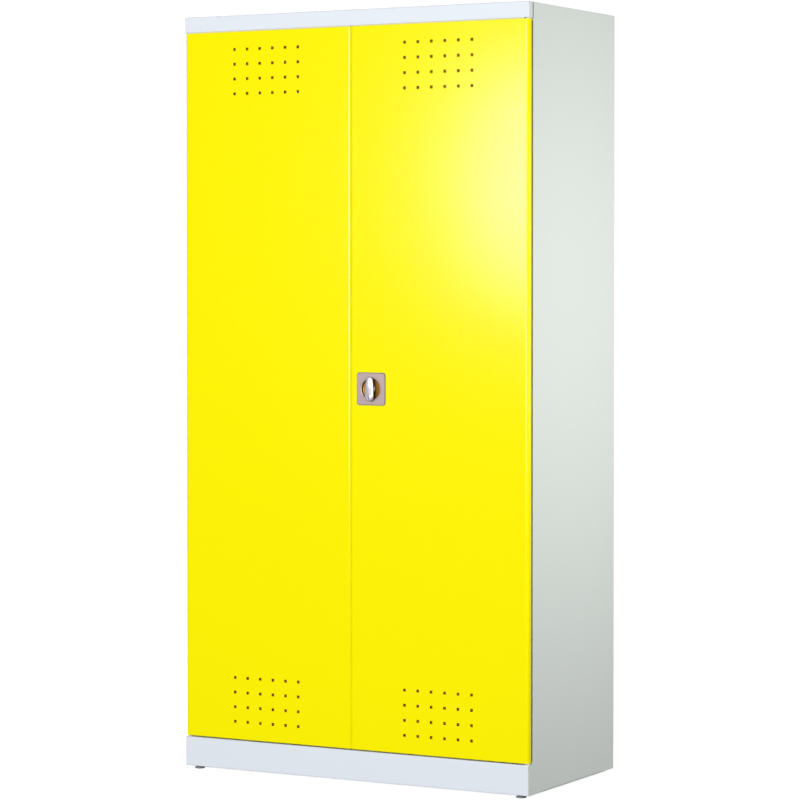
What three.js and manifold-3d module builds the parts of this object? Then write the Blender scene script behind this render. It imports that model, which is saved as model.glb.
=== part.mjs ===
// A two-door steel safety cabinet with vented yellow doors, a three-point lock, spill-tray
// shelves and a sump tray. Millimetres, +Z up, the doors face -Y, and the floor is Z = 0.
import * as THREE from "three";
import { mergeVertices } from "three/addons/utils/BufferGeometryUtils.js";
import Module from "manifold-3d";

const wasm = await Module();
wasm.setup();

// ---------------------------------------------------------------- driving dimensions
const width = 1000;
const depth = 495;
const bodyHeight = 1950;
const footHeight = 8;
const sheet = 1.2; // folded body and door steel
const traySheet = 1.0; // galvanised trays
const gap = 0.3; // clearance between pieces that touch
const gridPerMm = 256;
const past = 1; // how far a cutting block runs past the face it opens
const flange = 45; // depth of the top and bottom door rails
const railLip = 13; // turned-in edge behind both door rails
const rearFlange = 22;
const rearRailHeight = 52;
const floorEdge = 20; // turned-down edges of the floor panel
const jambLip = 12;
const bottomGap = 3; // between the back sheets and the outside of the back

const fasciaHeight = 40;
const fasciaReturn = 21.4;
const plinthHeight = 76;
const jambSetback = 22; // the side panel's folded front edge behind the door's face
const jambWidth = 30;

const doorThickness = 18;
const doorTopGap = 2.6;
const doorBottomGap = 4;
const centreGap = 1;
const doorLip = 14;
const doorEdgeRadius = 10;
const meetingRadius = 2; // free edge of the right door, which shuts against the left door's round edge
const stiffenerHalf = 20;
const stiffenerBrim = 15;
const stiffenerInset = 210; // from the door's ends, clear of the vent fields

const ventPitch = 38;
const ventHole = 7.5;
const ventColumns = 6;
const ventRows = 4;
const ventEdge = 45.3; // first row from the door's top or bottom edge
const ventShift = -3; // both vent fields sit a little left of their door's middle

const pivotInset = 7; // hinge axis from the cabinet's side
const pivotDepth = 12; // hinge axis behind the door's face
const pinRadius = 3;
const pinShoulder = 4.6;
const bushBore = 3.15;
const bushRadius = 4.4;
const collarRadius = 6;

const lockX = 56.5; // lock centre from the cabinet's middle
const lockPlateSize = 80;
const lockPlateThickness = 2.5;
const dishRadius = 27;
const dishFloor = 4.3; // dish floor behind the door's face
const gripWidth = 22;
const gripLength = 62;
const gripProud = 14; // foremost point of the handle in front of the door's face
const gripBack = 3; // gap plane between the handle and the plate's face
const spindleRadius = 4.6;
const hubRadius = 10.5;
const gripEndRadius = 10.9;
const cylinderDrop = 20;
const cylinderRadius = 8.9;

const crankRadius = 13.3; // a quarter turn from -45 to +45 degrees moves a rod by this times root 2
const crankPin = 2.5;
const slotSlack = 0.5;
const barWidth = 9;
const barThickness = 3;
const tongueLayer = 9; // front of the tongue behind the door's face
const layerGap = 0.6; // between the tongue, the rods and what they slide through
const barSideGap = 1;
const rodLayer = tongueLayer + barThickness + layerGap;
const spindleEnd = rodLayer + barThickness + layerGap;
const caseHalf = 36;
const guideHalf = 9;
const guideSpan = 500; // rod guides above and below the lock
const keeperThickness = 2;
const wayHalf = 6; // half the width of the case's slots for the rods and the tongue
const crankWall = 1.5; // metal left around a rod's cross slot

const slotPitch = 75;
const slotCount = 23;
const firstSlot = 146;
const slotWidth = 11;
const slotHeight = 3.2;
const clipReach = 20; // how far a clip stands out under its shelf
const clipDrop = 22; // how far its back plate hangs down
const uprightInner = 486; // the uprights' slotted faces from the middle
const uprightWidth = 25;
const uprightPlaces = { front: 70, rear: 440 };
const shelfSlots = [5, 11, 17];
const shelfHalf = 480;
const shelfSpan = [56, 454];
const shelfWall = 32;
const sumpHalf = 470;
const sumpSpan = [60, 470];
const sumpWall = 62;

const footRadius = 13;
const footPlaces = { front: { inset: 30, y: 20 }, rear: { inset: 45, y: depth - 28 } };
const footRail = 60;
const footPad = 3; // height of the pad's straight rim
const padTop = 7.4;
const studRadius = 4;
const studTop = 42;
const nutRadius = 8;
const nutHeight = 9;

const half = width / 2;
const floorZ = footHeight;
const topZ = footHeight + bodyHeight;
const railZ = floorZ + plinthHeight;
const fasciaZ = topZ - fasciaHeight;
const doorZ = [railZ + doorBottomGap, fasciaZ - doorTopGap];
const lockZ = (doorZ[0] + doorZ[1]) / 2;
const inner = half - sheet - gap;
const rodOffset = (crankRadius * (1 + Math.SQRT1_2)) / 2;
const rodX = { upper: lockX + rodOffset, lower: lockX - rodOffset };
const tongueZ = lockZ + crankRadius + 3.3;

// ---------------------------------------------------------------- shapes
// Vertices sit on a fine grid that 32-bit numbers hold exactly, so flush faces stay flush.
function solid(geometry) {
  geometry.deleteAttribute("normal");
  geometry.deleteAttribute("uv");
  const places = geometry.attributes.position.array;
  places.forEach((value, i) => {
    places[i] = Math.round(value * gridPerMm) / gridPerMm;
  });
  const merged = mergeVertices(geometry, 1e-4);
  const vertProperties = merged.attributes.position.array;
  const triVerts = new Uint32Array(merged.index.array);
  return new wasm.Manifold(new wasm.Mesh({ numProp: 3, vertProperties, triVerts }));
}

function block([x0, x1], [y0, y1], [z0, z1]) {
  const box = new THREE.BoxGeometry(Math.abs(x1 - x0), Math.abs(y1 - y0), Math.abs(z1 - z0));
  return solid(box.translate((x0 + x1) / 2, (y0 + y1) / 2, (z0 + z1) / 2));
}

// A folded sheet of one section: outline points are [depth, height], carried along the width.
function folded(outline, [x0, x1]) {
  const shape = new THREE.Shape(outline.map(([y, z]) => new THREE.Vector2(y, z)));
  const strip = new THREE.ExtrudeGeometry(shape, { depth: x1 - x0, bevelEnabled: false });
  const [alongX, alongY, alongZ] = [0, 1, 2].map((i) => new THREE.Vector3().setComponent(i, 1));
  strip.applyMatrix4(new THREE.Matrix4().makeBasis(alongY, alongZ, alongX));
  return solid(strip.translate(x0, 0, 0));
}

// A plan outline of [x, depth] points, carried up between two heights.
function standing(outline, [z0, z1]) {
  const shape = new THREE.Shape(outline.map(([x, y]) => new THREE.Vector2(x, y)));
  const post = new THREE.ExtrudeGeometry(shape, { depth: z1 - z0, bevelEnabled: false });
  return solid(post.translate(0, 0, z0));
}

// A turned piece about a vertical line: profile points are [radius, height].
function turnedUpright(profile, x, y, segments = 16) {
  const points = profile.map(([r, h]) => new THREE.Vector2(r, h));
  const lathe = new THREE.LatheGeometry(points, segments);
  return solid(lathe.rotateX(Math.PI / 2).translate(x, y, 0));
}

// A turned piece about a front-to-back line: profile points are [radius, depth].
function turnedDeep(profile, x, z, segments = 32) {
  const points = profile.map(([r, y]) => new THREE.Vector2(r, y));
  return solid(new THREE.LatheGeometry(points, segments).translate(x, 0, z));
}

function diskProfile(radius, low, high) {
  return [[0, low], [radius, low], [radius, high], [0, high]];
}

function ringProfile(inside, outside, low, high) {
  return [[inside, low], [outside, low], [outside, high], [inside, high], [inside, low]];
}

function join(...solids) {
  return solids.reduce((sum, next) => sum.add(next));
}

function cut(base, ...tools) {
  return tools.reduce((rest, tool) => rest.subtract(tool), base);
}

// A rectangle with round corners in the cabinet's front plane, between two depths.
function roundedPlate(wide, high, radius, [y0, y1], x, z, segments = 8) {
  const [w, h] = [wide / 2 - radius, high / 2 - radius];
  const outline = new THREE.Shape();
  outline.absarc(w, h, radius, 0, Math.PI / 2);
  outline.absarc(-w, h, radius, Math.PI / 2, Math.PI);
  outline.absarc(-w, -h, radius, Math.PI, Math.PI * 1.5);
  outline.absarc(w, -h, radius, Math.PI * 1.5, Math.PI * 2);
  const options = { depth: y1 - y0, bevelEnabled: false, curveSegments: segments };
  const plate = new THREE.ExtrudeGeometry(outline, options).rotateX(Math.PI / 2);
  return solid(plate.translate(x, y1, z));
}

// ---------------------------------------------------------------- materials
function paint(color, roughness, metalness) {
  return new THREE.MeshStandardMaterial({ color, roughness, metalness });
}

const greyPaint = paint(0xdfe1e3, 0.45, 0.1);
const yellowPaint = paint(0xf5d800, 0.35, 0.1);
const zinc = paint(0xb4b9bd, 0.4, 0.9);
const nickel = paint(0xc9c7c0, 0.25, 1.0);
const blackSteel = paint(0x3a3c3f, 0.5, 0.6);
const darkPlastic = paint(0x3b3b3d, 0.6, 0.0);
const nylon = paint(0xe8e6dc, 0.5, 0.0);

const cabinet = new THREE.Group();
cabinet.position.y = -(depth - gripProud) / 2;

function piece(name, shape, material) {
  const { vertProperties, triVerts } = shape.getMesh();
  const geometry = new THREE.BufferGeometry();
  geometry.setAttribute("position", new THREE.BufferAttribute(vertProperties, 3));
  geometry.setIndex(new THREE.BufferAttribute(triVerts, 1));
  geometry.computeVertexNormals();
  const mesh = new THREE.Mesh(geometry, material);
  mesh.name = name;
  cabinet.add(mesh);
}

// ---------------------------------------------------------------- carcass
// Side panel: skin with a folded jamb behind the door, a rear flange and a bottom flange.
// Its lowest part runs forward beside the plinth.
function sidePanel(side) {
  const lipEnd = jambSetback + jambLip;
  const skin = half - sheet;
  const jamb = half - jambWidth;
  const folds = [
    [half, 0],
    [half, depth],
    [half - rearFlange, depth],
    [half - rearFlange, depth - sheet],
    [skin, depth - sheet],
    [skin, jambSetback + sheet],
    [jamb + sheet, jambSetback + sheet],
    [jamb + sheet, lipEnd],
    [jamb, lipEnd],
    [jamb, jambSetback],
    [skin, jambSetback],
    [skin, 0],
  ];
  const top = topZ - sheet - gap;
  const besideJamb = [side * (jamb - past), side * skin];
  const jambDepth = [jambSetback - past, lipEnd + past];
  const bottom = [side * jamb, side * (half - sheet / 2)];
  const sheetMetal = cut(
    standing(side < 0 ? folds.map(([x, y]) => [-x, y]).reverse() : folds, [floorZ, top]),
    block([side * (skin - past), side * (half + past)], [-past, jambSetback], [railZ, top + past]),
    block(besideJamb, jambDepth, [floorZ - past, railZ + gap]),
    block(besideJamb, jambDepth, [fasciaZ - gap, top + past]),
  );
  const reach = [footRail + 2, depth - footRail - 2];
  const foot = floorZ + 0.5;
  return join(sheetMetal, block(bottom, reach, [foot, foot + sheet]));
}

function bushHole(side, low, high) {
  const x = side * (half - pivotInset);
  return turnedUpright(diskProfile(bushRadius + 0.2, low, high), x, pivotDepth);
}

function rodHole(x, low, high) {
  const reach = barWidth / 2 + barSideGap;
  const deep = [rodLayer - layerGap, rodLayer + barThickness + layerGap];
  return block([x - reach, x + reach], deep, [low, high]);
}

// Roof, front fascia and upper door rail: one sheet folded from back to front and under.
function roofPanel() {
  const folds = [
    [depth, topZ],
    [0, topZ],
    [0, fasciaZ],
    [flange, fasciaZ],
    [flange, fasciaZ + railLip],
    [flange - sheet, fasciaZ + railLip],
    [flange - sheet, fasciaZ + sheet],
    [sheet, fasciaZ + sheet],
    [sheet, topZ - sheet],
    [depth, topZ - sheet],
  ];
  const cutLow = fasciaZ - past;
  const cutHigh = fasciaZ + sheet + past;
  const aboveLip = fasciaZ + railLip + past;
  const railEnds = [-1, 1].map((side) =>
    block([side * inner, side * (half + past)], [fasciaReturn, flange + past], [cutLow, aboveLip]),
  );
  const returns = [-1, 1].map((side) =>
    block(
      [side * (half - sheet), side * half],
      [sheet / 2, fasciaReturn],
      [fasciaZ + sheet / 2, topZ - sheet / 2],
    ),
  );
  return cut(
    join(cut(folded(folds, [-half, half]), ...railEnds), ...returns),
    bushHole(-1, cutLow, cutHigh),
    bushHole(1, cutLow, cutHigh),
    rodHole(rodX.upper, cutLow, cutHigh),
  );
}

function weldNut(side, { inset, y }) {
  const profile = diskProfile(nutRadius, floorZ + sheet / 2, floorZ + nutHeight);
  return turnedUpright(profile, side * (half - inset), y);
}

function studHole(side, { inset, y }) {
  const profile = diskProfile(studRadius + 0.4, floorZ - past, floorZ + nutHeight + past);
  return turnedUpright(profile, side * (half - inset), y);
}

// Plinth: front face, lower door rail and the flange that carries the front feet.
function plinth() {
  const folds = [
    [0, floorZ],
    [footRail, floorZ],
    [footRail, floorZ + sheet],
    [sheet, floorZ + sheet],
    [sheet, railZ - sheet],
    [flange - sheet, railZ - sheet],
    [flange - sheet, railZ - railLip],
    [flange, railZ - railLip],
    [flange, railZ],
    [0, railZ],
  ];
  const cutLow = railZ - sheet - past;
  const cutHigh = railZ + past;
  return cut(
    join(folded(folds, [-inner, inner]), ...[-1, 1].map((side) => weldNut(side, footPlaces.front))),
    bushHole(-1, cutLow, cutHigh),
    bushHole(1, cutLow, cutHigh),
    rodHole(rodX.lower, cutLow, cutHigh),
    studHole(-1, footPlaces.front),
    studHole(1, footPlaces.front),
  );
}

// Rear base rail: an angle that carries the rear feet.
function rearBaseRail() {
  const back = depth - bottomGap;
  const folds = [
    [depth - footRail, floorZ],
    [back, floorZ],
    [back, floorZ + rearRailHeight],
    [back - sheet, floorZ + rearRailHeight],
    [back - sheet, floorZ + sheet],
    [depth - footRail, floorZ + sheet],
  ];
  return cut(
    join(folded(folds, [-inner, inner]), ...[-1, 1].map((side) => weldNut(side, footPlaces.rear))),
    studHole(-1, footPlaces.rear),
    studHole(1, footPlaces.rear),
  );
}

function floorPanel() {
  const [front, back] = [flange + gap, depth - bottomGap];
  const turnedDown = railZ - floorEdge;
  const folds = [
    [front, turnedDown],
    [front + sheet, turnedDown],
    [front + sheet, railZ - sheet],
    [back - sheet, railZ - sheet],
    [back - sheet, turnedDown],
    [back, turnedDown],
    [back, railZ],
    [front, railZ],
  ];
  return folded(folds, [-inner, inner]);
}

function backPanel() {
  const back = depth - sheet - gap;
  return block([-inner, inner], [back - sheet, back], [floorZ + 2, topZ - sheet - gap]);
}

// Slotted upright: a channel open to the side panel, with a slot for a clip at every pitch.
function upright(side, y) {
  const web = [side * uprightInner, side * (uprightInner + sheet)];
  const wall = [side * uprightInner, side * inner];
  const reach = uprightWidth / 2;
  const tall = [railZ + gap, fasciaZ - 12];
  let channel = join(
    block(web, [y - reach, y + reach], tall),
    block(wall, [y - reach, y - reach + sheet], tall),
    block(wall, [y + reach - sheet, y + reach], tall),
  );
  for (let i = 0; i < slotCount; i += 1) {
    const z = firstSlot + i * slotPitch;
    const through = [side * (uprightInner - past), side * (uprightInner + sheet + past)];
    const [wide, high] = [slotWidth / 2, slotHeight / 2];
    channel = cut(channel, block(through, [y - wide, y + wide], [z - high, z + high]));
  }
  return channel;
}

function shelfClip(side, y, z) {
  const face = uprightInner - gap;
  return join(
    block([side * (face - clipReach), side * (face + 5)], [y - 5, y + 5], [z - 1, z + 1]),
    block([side * (face - clipReach), side * face], [y - 8, y + 8], [z - 1, z + 1]),
    block([side * (face - 2), side * face], [y - 8, y + 8], [z - clipDrop, z + 1]),
  );
}

// ---------------------------------------------------------------- trays
function tray(reach, [front, back], z, wall, thickness) {
  const outside = block([-reach, reach], [front, back], [z, z + wall]);
  const hollow = block(
    [-reach + thickness, reach - thickness],
    [front + thickness, back - thickness],
    [z + thickness, z + wall + past],
  );
  return cut(outside, hollow);
}

// ---------------------------------------------------------------- feet
function levellingFoot(side, { inset, y }) {
  const profile = [
    [0, 0],
    [footRadius, 0],
    [footRadius, footPad],
    [footRadius - 4, padTop - 1.5],
    [studRadius + 2.5, padTop],
    [studRadius, padTop],
    [studRadius, studTop],
    [0, studTop],
  ];
  return turnedUpright(profile, side * (half - inset), y, 20);
}

// ---------------------------------------------------------------- doors
function doorOutline([left, right], [leftRadius, rightRadius], thickness) {
  const outline = new THREE.Path();
  outline.moveTo(left + thickness, doorThickness);
  outline.absarc(left + leftRadius, leftRadius, leftRadius - thickness, Math.PI, Math.PI * 1.5);
  outline.absarc(right - rightRadius, rightRadius, rightRadius - thickness, -Math.PI / 2, 0);
  outline.lineTo(right - thickness, doorThickness);
  return outline.getPoints(7);
}

// Door pan: front skin with round vertical edges, folded flanges and lips, and vent fields.
function doorShell([left, right], radii) {
  const outer = doorOutline([left, right], radii, 0);
  const inside = doorOutline([left, right], radii, sheet).reverse();
  const tall = doorZ[1] - doorZ[0];
  const section = new THREE.ExtrudeGeometry(new THREE.Shape([...outer, ...inside]), {
    depth: tall,
    bevelEnabled: false,
  });
  const cap = { depth: sheet, bevelEnabled: false };
  const ends = [doorZ[0], doorZ[1] - sheet].map((z) =>
    solid(new THREE.ExtrudeGeometry(new THREE.Shape(outer), cap).translate(0, 0, z)),
  );
  const lipDepth = [doorThickness - sheet, doorThickness];
  const pan = join(
    solid(section.translate(0, 0, doorZ[0])),
    ...ends,
    block([left, left + doorLip], lipDepth, doorZ),
    block([right - doorLip, right], lipDepth, doorZ),
    block([left, right], lipDepth, [doorZ[0], doorZ[0] + doorLip]),
    block([left, right], lipDepth, [doorZ[1] - doorLip, doorZ[1]]),
  );
  return cut(pan, ...ventHoles((left + right) / 2 + ventShift));
}

function ventHoles(middle) {
  const holes = [];
  for (let row = 0; row < ventRows; row += 1) {
    const inset = ventEdge + row * ventPitch;
    for (const z of [doorZ[0] + inset, doorZ[1] - inset]) {
      for (let column = 0; column < ventColumns; column += 1) {
        const x = middle + (column - (ventColumns - 1) / 2) * ventPitch;
        const reach = ventHole / 2;
        holes.push(block([x - reach, x + reach], [-past, sheet + past], [z - reach, z + reach]));
      }
    }
  }
  return holes;
}

function pinHole(side, low, high) {
  const x = side * (half - pivotInset);
  return turnedUpright(diskProfile(pinRadius + 0.2, low, high), x, pivotDepth);
}

function tongueSlot() {
  const reach = barWidth / 2 + barSideGap;
  const deep = [tongueLayer - layerGap, tongueLayer + barThickness + layerGap];
  const through = centreGap / 2 + sheet + past;
  return block([-through, through], deep, [tongueZ - reach, tongueZ + reach]);
}

function leftDoor() {
  return cut(
    doorShell([-half, -centreGap / 2], [doorEdgeRadius, doorEdgeRadius]),
    tongueSlot(),
    pinHole(-1, doorZ[0] - past, doorZ[0] + sheet + past),
    pinHole(-1, doorZ[1] - sheet - past, doorZ[1] + past),
  );
}

function rightDoor() {
  return cut(
    doorShell([centreGap / 2, half], [meetingRadius, doorEdgeRadius]),
    tongueSlot(),
    pinHole(1, doorZ[0] - past, doorZ[0] + sheet + past),
    pinHole(1, doorZ[1] - sheet - past, doorZ[1] + past),
    rodHole(rodX.upper, doorZ[1] - sheet - past, doorZ[1] + past),
    rodHole(rodX.lower, doorZ[0] - past, doorZ[0] + sheet + past),
    turnedDeep(diskProfile(dishRadius + 1.8, -past, sheet + past), lockX, lockZ),
  );
}

// Hat-section stiffener on the skin's inner face, between the two vent fields.
function doorStiffener(side) {
  const middle = (side * (half + centreGap / 2)) / 2;
  const tall = [doorZ[0] + stiffenerInset, doorZ[1] - stiffenerInset];
  const [front, crown] = [sheet + gap, doorThickness - 4];
  const [left, right] = [middle - stiffenerHalf, middle + stiffenerHalf];
  return join(
    block([left, right], [crown - sheet, crown], tall),
    block([left, left + sheet], [front, crown], tall),
    block([right - sheet, right], [front, crown], tall),
    block([left - stiffenerBrim, left + sheet], [front, front + sheet], tall),
    block([right - sheet, right + stiffenerBrim], [front, front + sheet], tall),
  );
}

// ---------------------------------------------------------------- hinge pins and bushes
function upperPin(side) {
  const seat = doorZ[1] - sheet - gap;
  const profile = [
    [0, seat - 4],
    [pinShoulder, seat - 4],
    [pinShoulder, seat],
    [pinRadius, seat],
    [pinRadius, fasciaZ + 8],
    [0, fasciaZ + 8],
  ];
  return turnedUpright(profile, side * (half - pivotInset), pivotDepth);
}

function lowerPin(side) {
  const seat = doorZ[0] - gap;
  const profile = [
    [0, railZ - 8],
    [pinRadius, railZ - 8],
    [pinRadius, seat - 1.4],
    [pinShoulder, seat - 1.4],
    [pinShoulder, seat],
    [pinRadius, seat],
    [pinRadius, doorZ[0] + 12],
    [0, doorZ[0] + 12],
  ];
  return turnedUpright(profile, side * (half - pivotInset), pivotDepth);
}

function upperBush(side) {
  const profile = [
    [bushBore, fasciaZ - 2],
    [collarRadius, fasciaZ - 2],
    [collarRadius, fasciaZ - gap],
    [bushRadius, fasciaZ - gap],
    [bushRadius, fasciaZ + 6],
    [bushBore, fasciaZ + 6],
    [bushBore, fasciaZ - 2],
  ];
  return turnedUpright(profile, side * (half - pivotInset), pivotDepth);
}

function lowerBush(side) {
  const profile = [
    [bushBore, railZ - 6],
    [bushRadius, railZ - 6],
    [bushRadius, railZ + gap],
    [collarRadius, railZ + gap],
    [collarRadius, railZ + 1.9],
    [bushBore, railZ + 1.9],
    [bushBore, railZ - 6],
  ];
  return turnedUpright(profile, side * (half - pivotInset), pivotDepth);
}

// ---------------------------------------------------------------- lock
// Square escutcheon with a round dish let into the door.
function lockPlate() {
  const front = -lockPlateThickness;
  const back = dishFloor + sheet;
  const face = roundedPlate(lockPlateSize, lockPlateSize, 7, [front, -gap], lockX, lockZ);
  const cup = turnedDeep(diskProfile(dishRadius + 1.2, -1, back), lockX, lockZ);
  const hollow = turnedDeep(
    [
      [0, dishFloor],
      [spindleRadius + 0.4, dishFloor],
      [dishRadius - 3, dishFloor],
      [dishRadius, dishFloor - 3],
      [dishRadius, front - 1],
      [0, front - 1],
    ].reverse(),
    lockX,
    lockZ,
  );
  const bore = turnedDeep(diskProfile(spindleRadius + 0.4, dishFloor - 1, back + 1), lockX, lockZ);
  const ring = turnedDeep(ringProfile(19, 20.5, dishFloor - 0.8, dishFloor + 0.4), lockX, lockZ);
  return cut(join(face, cup), hollow, bore).add(ring);
}

// Grip bar with its hub and spindle, bored for the key cylinder at its lower end.
function gripHandle() {
  const front = -(gripProud - 0.4);
  const deep = [front, -gripBack];
  const bar = roundedPlate(gripWidth, gripLength, gripEndRadius, deep, lockX, lockZ, 10);
  const hub = turnedDeep(diskProfile(hubRadius, -gripBack - 1, dishFloor - 0.4), lockX, lockZ, 20);
  const spindle = turnedDeep(diskProfile(spindleRadius, -gripBack, spindleEnd), lockX, lockZ, 16);
  const bore = diskProfile(cylinderRadius + 0.25, front - 1, -gripBack - 1.6);
  return cut(join(bar, hub, spindle), turnedDeep(bore, lockX, lockZ - cylinderDrop, 20));
}

function lockCylinder() {
  const z = lockZ - cylinderDrop;
  const plug = turnedDeep(diskProfile(cylinderRadius, -gripProud, -gripBack - 1.9), lockX, z, 20);
  const keyway = block([lockX - 0.9, lockX + 0.9], [-gripProud - 1, -gripProud + 4], [z - 4, z + 4]);
  return cut(plug, keyway);
}

function crankPlace(degrees) {
  const angle = THREE.MathUtils.degToRad(degrees);
  return [lockX + crankRadius * Math.cos(angle), lockZ + crankRadius * Math.sin(angle)];
}

// Cam disc on the spindle: two long pins drive the rods and a short one drives the tongue.
function handleCam() {
  const disc = turnedDeep(ringProfile(spindleRadius + 0.3, 19, 6, 8.4), lockX, lockZ, 20);
  const longPin = diskProfile(crankPin, 8, rodLayer + barThickness + 0.4);
  const shortPin = diskProfile(crankPin, 8, rodLayer - gap);
  return join(
    disc,
    turnedDeep(longPin, ...crankPlace(-45), 12),
    turnedDeep(longPin, ...crankPlace(135), 12),
    turnedDeep(shortPin, ...crankPlace(45), 12),
  );
}

// Flat rod with a cross slot for its crank pin; turned by half a turn it is the lower rod.
function lockRod(direction, end) {
  const near = crankRadius * Math.SQRT1_2;
  const clear = crankPin + slotSlack;
  const at = (x, z) => [lockX + direction * x, lockZ + direction * z];
  const deep = [rodLayer, rodLayer + barThickness];
  const slab = (x0, x1, z0, z1, layer) => {
    const [a, b] = [at(x0, z0), at(x1, z1)];
    return block([a[0], b[0]], layer, [a[1], b[1]]);
  };
  const reach = Math.abs(end - lockZ);
  const slot = slab(near - clear, crankRadius + clear, -near - clear, -near + clear, [0, 20]);
  const head = slab(
    near - clear - crankWall,
    crankRadius + clear + crankWall,
    -near - clear - crankWall,
    -near + clear + crankWall,
    deep,
  );
  const bar = slab(rodOffset - barWidth / 2, rodOffset + barWidth / 2, -near + clear, reach, deep);
  return cut(join(head, bar), slot);
}

// Sideways latch tongue with an upright slot for the short crank pin.
function latchTongue() {
  const near = crankRadius * Math.SQRT1_2;
  const clear = crankPin + slotSlack;
  const deep = [tongueLayer, tongueLayer + barThickness];
  const low = lockZ + near - clear;
  const high = lockZ + crankRadius + clear;
  const middle = lockX + near;
  const tip = centreGap / 2 + sheet + 0.6;
  const head = [middle - clear - crankWall, middle + clear + crankWall];
  return cut(
    join(
      block(head, deep, [low - crankWall, tongueZ + barWidth / 2]),
      block([tip, head[1]], deep, [tongueZ - barWidth / 2 + 1, tongueZ + barWidth / 2]),
    ),
    block([middle - clear, middle + clear], [0, 20], [low, high]),
  );
}

function lockCase() {
  const reach = caseHalf;
  const [front, back] = [sheet + gap, doorThickness - 0.2];
  const box = block([lockX - reach, lockX + reach], [front, back], [lockZ - reach, lockZ + reach]);
  const wall = reach - sheet;
  const hollow = block(
    [lockX - wall, lockX + wall],
    [front - past, back - sheet],
    [lockZ - wall, lockZ + wall],
  );
  const rodDeep = [rodLayer - layerGap, rodLayer + barThickness + 0.4];
  const rodWay = (x, z0, z1) => block([x - wayHalf, x + wayHalf], rodDeep, [z0, z1]);
  return cut(
    box,
    hollow,
    rodWay(rodX.upper, lockZ + wall - past, lockZ + reach + past),
    rodWay(rodX.lower, lockZ - reach - past, lockZ - wall + past),
    block(
      [lockX - reach - past, lockX - wall + past],
      [tongueLayer - layerGap, tongueLayer + barThickness + layerGap],
      [tongueZ - wayHalf, tongueZ + wayHalf],
    ),
  );
}

function rodGuide(x, z) {
  const deep = [sheet + gap, doorThickness - 0.2];
  const body = block([x - 10, x + 10], deep, [z - guideHalf, z + guideHalf]);
  return cut(body, rodHole(x, z - guideHalf - past, z + guideHalf + past));
}

function keeper(x, z) {
  const body = block([x - 20, x + 20], [7, 21], [z, z + keeperThickness]);
  return cut(body, rodHole(x, z - past, z + keeperThickness + past));
}

// ---------------------------------------------------------------- magnetic catch, left door
const catchX = -70;
const catchHeight = 14;
const strikeHeight = 12;

function catchBlock([z0, z1]) {
  return block([catchX - 22, catchX + 22], [doorThickness + 2.2, doorThickness + 17], [z0, z1]);
}

function strikePlate([z0, z1]) {
  const deep = [doorThickness + gap, doorThickness + 1.7];
  return block([catchX - 18, catchX + 18], deep, [z0, z1]);
}

// ---------------------------------------------------------------- assembly
const sides = { left: -1, right: 1 };

piece("roof_panel", roofPanel(), greyPaint);
piece("plinth", plinth(), greyPaint);
piece("back_panel", backPanel(), greyPaint);
piece("floor_panel", floorPanel(), greyPaint);
piece("rear_base_rail", rearBaseRail(), greyPaint);

for (const [hand, side] of Object.entries(sides)) {
  piece(`side_panel_${hand}`, sidePanel(side), greyPaint);
  for (const [place, y] of Object.entries(uprightPlaces)) {
    piece(`upright_${place}_${hand}`, upright(side, y), zinc);
    shelfSlots.forEach((slot, i) => {
      const z = firstSlot + slot * slotPitch;
      piece(`shelf_clip_${i + 1}_${place}_${hand}`, shelfClip(side, y, z), zinc);
    });
  }
  for (const [name, place] of Object.entries(footPlaces)) {
    piece(`levelling_foot_${name}_${hand}`, levellingFoot(side, place), darkPlastic);
  }
  piece(`door_stiffener_${hand}`, doorStiffener(side), yellowPaint);
  piece(`hinge_pin_upper_${hand}`, upperPin(side), zinc);
  piece(`hinge_pin_lower_${hand}`, lowerPin(side), zinc);
  piece(`hinge_bush_upper_${hand}`, upperBush(side), nylon);
  piece(`hinge_bush_lower_${hand}`, lowerBush(side), nylon);
}

shelfSlots.forEach((slot, i) => {
  const z = firstSlot + slot * slotPitch + 1 + gap;
  piece(`shelf_tray_${i + 1}`, tray(shelfHalf, shelfSpan, z, shelfWall, traySheet), zinc);
});
piece("sump_tray", tray(sumpHalf, sumpSpan, railZ + gap, sumpWall, sheet), zinc);

piece("door_shell_left", leftDoor(), yellowPaint);
piece("door_shell_right", rightDoor(), yellowPaint);
piece("lock_plate", lockPlate(), nickel);
piece("grip_handle", gripHandle(), nickel);
piece("lock_cylinder", lockCylinder(), nickel);
piece("handle_cam", handleCam(), zinc);
piece("lock_case", lockCase(), zinc);
piece("latch_tongue", latchTongue(), zinc);
piece("lock_rod_upper", lockRod(1, doorZ[1] - sheet - 1), zinc);
piece("lock_rod_lower", lockRod(-1, doorZ[0] + sheet + 1), zinc);
piece("rod_guide_upper", rodGuide(rodX.upper, lockZ + guideSpan), nylon);
piece("rod_guide_lower", rodGuide(rodX.lower, lockZ - guideSpan), nylon);
piece("keeper_plate_upper", keeper(rodX.upper, fasciaZ + sheet + gap), zinc);
piece("keeper_plate_lower", keeper(rodX.lower, railZ - sheet - gap - keeperThickness), zinc);
piece("magnetic_catch_upper", catchBlock([fasciaZ - gap - catchHeight, fasciaZ - gap]), blackSteel);
piece("magnetic_catch_lower", catchBlock([railZ + gap, railZ + gap + catchHeight]), blackSteel);
piece("strike_plate_upper", strikePlate([doorZ[1] - 1 - strikeHeight, doorZ[1] - 1]), zinc);
piece("strike_plate_lower", strikePlate([doorZ[0] + 1, doorZ[0] + 1 + strikeHeight]), zinc);

export default cabinet;
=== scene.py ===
"""Visual model of a two-door vented safety cabinet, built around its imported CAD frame."""
import math

import bmesh
import bpy
from mathutils import Matrix, Vector


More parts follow.
